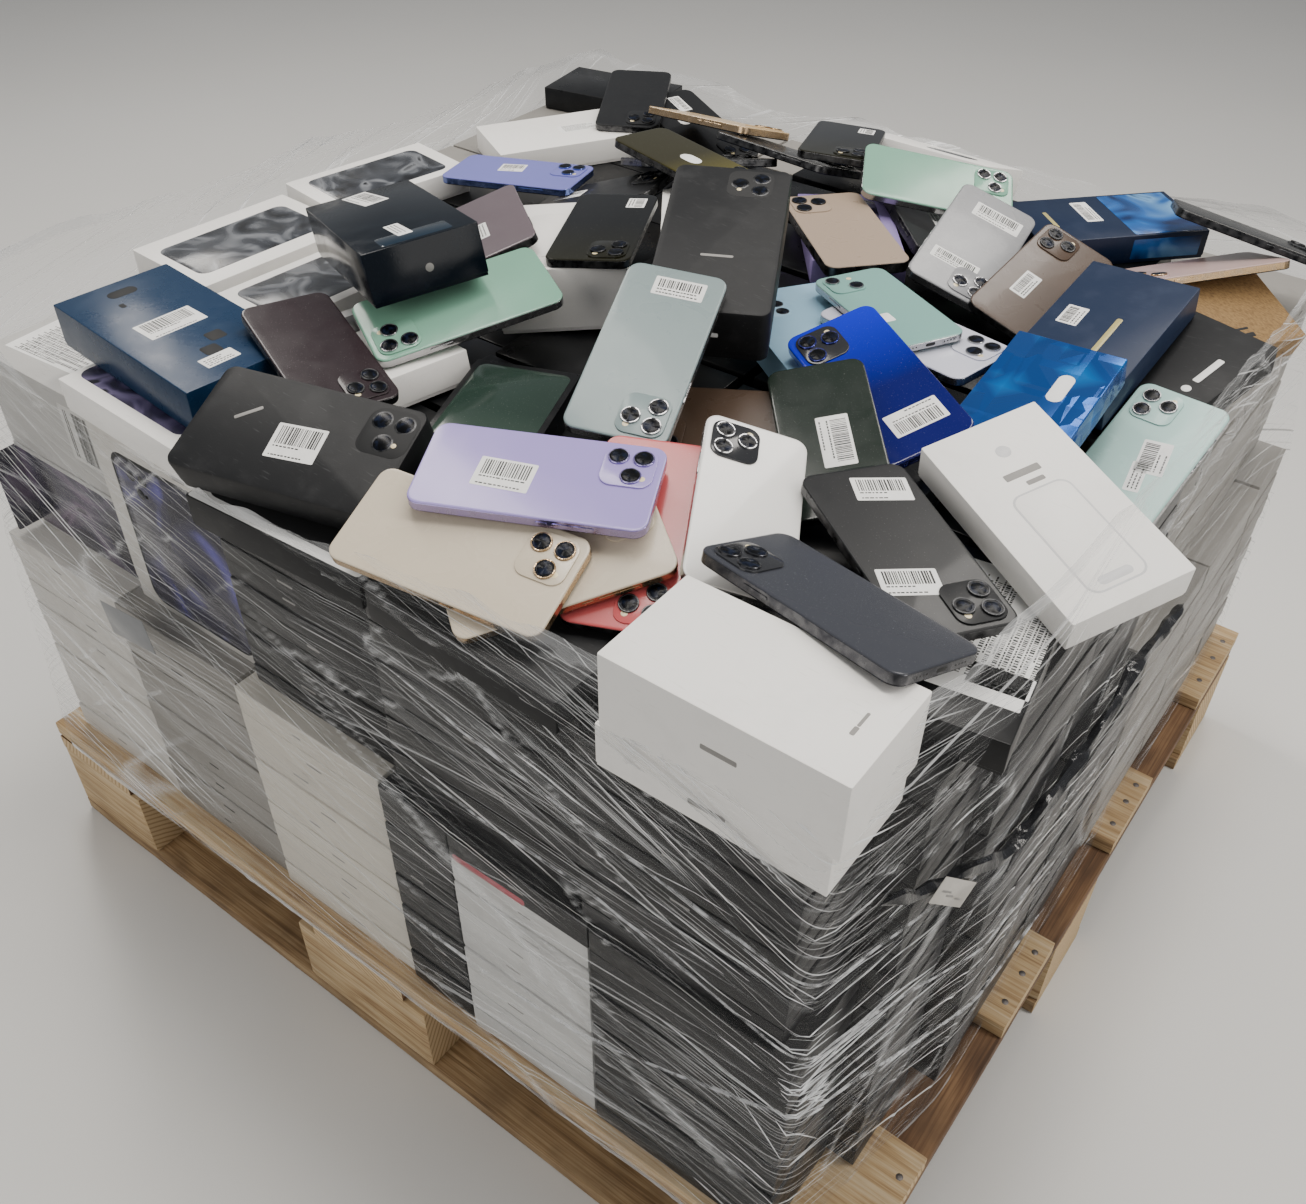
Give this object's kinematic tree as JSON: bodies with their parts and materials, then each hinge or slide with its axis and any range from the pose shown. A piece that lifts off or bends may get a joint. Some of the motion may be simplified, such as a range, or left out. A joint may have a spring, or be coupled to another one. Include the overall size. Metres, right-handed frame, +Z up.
{
  "type": "shrink wrapped pallet load",
  "caption": "Wooden block pallet loaded with stacked card boxes and a loose heap of small boxed and unboxed phones on top, held together by clear stretch film.",
  "frame": {"origin": "middle of the footprint, on the floor under the pallet", "axes": "+X to the right along the front side, +Y to the back, +Z up"},
  "size_m": [1.0307, 0.9695, 0.762],
  "materials": {
    "black_card": "matt printed card",
    "black_glass": "glass back",
    "block_pine": "sawn, unfinished",
    "blue_foil": "crumpled glossy film",
    "blue_glass": "glass back",
    "brown_glass": "glass back",
    "champagne_glass": "glass back",
    "cream_card": "matt printed card",
    "cream_glass": "glass back",
    "deck_pine": "sawn, unfinished",
    "gold_glass": "glass back",
    "graphite_glass": "glass back",
    "green_glass": "glass back",
    "grey_card": "matt printed card",
    "kraft_card": "plain brown card",
    "light_blue_card": "matt printed card",
    "lilac_glass": "glass back",
    "mint_glass": "glass back",
    "navy_card": "satin printed card",
    "pink_glass": "glass back",
    "plain_card": "plain board",
    "red_glass": "glass back",
    "silver_glass": "glass back",
    "stained_pine": "sawn and weather stained",
    "stretch_film": "clear stretched film",
    "teal_glass": "glass back",
    "violet_blue_glass": "glass back",
    "violet_card": "matt printed card",
    "white_card": "matt printed card",
    "white_glass": "glass back"
  },
  "bodies": {
    "root": {"back_boxes": "grey_card", "bed_boxes": "black_card", "blocks": "block_pine", "bottom_boards": "stained_pine", "boxed_phone_green": "black_card", "bright_blue_sleeve": "blue_foil", "brown_phones": "brown_glass", "camera_black_box": "black_card", "champagne_phone": "champagne_glass", "corner_white_boxes": "white_card", "cream_phone": "cream_glass", "cross_boards": "stained_pine", "dark_green_phone": "green_glass", "dark_phones": "black_glass", "dark_picture_boxes": "white_card", "deck_boards": "deck_pine", "deep_blue_phone": "blue_glass", "five_lens_phone": "silver_glass", "front_black_boxes": "black_card", "front_cream_boxes": "cream_card", "front_dark_boxes": "black_card", "front_grey_boxes": "grey_card", "front_pale_boxes": "cream_card", "front_white_boxes": "white_card", "glossy_black_box": "black_card", "glossy_black_phones": "black_glass", "gold_phone": "gold_glass", "graphite_phone": "graphite_glass", "heap_black_boxes": "black_card", "heap_white_boxes": "white_card", "kraft_box": "kraft_card", "label_box_stack": "white_card", "label_sheet_box": "white_card", "labelled_black_phones": "black_glass", "left_boxes": "grey_card", "light_blue_box": "light_blue_card", "lilac_phone": "lilac_glass", "lilac_white_phone": "lilac_glass", "load_core": "plain_card", "mint_phones": "mint_glass", "navy_boxes": "navy_card", "navy_sleeve_box": "navy_card", "outline_white_box": "white_card", "picture_box_flat": "white_card", "picture_box_stack": "white_card", "pink_phone": "pink_glass", "red_phone": "red_glass", "right_boxes": "black_card", "scuffed_black_box": "black_card", "silver_phone": "silver_glass", "square_white_box": "white_card", "stretch_film": "stretch_film", "teal_phones": "teal_glass", "teal_picture_box": "white_card", "two_square_box": "white_card", "violet_blue_phone": "violet_blue_glass", "violet_box": "violet_card", "white_phone": "white_glass"}
  },
  "joints": []
}
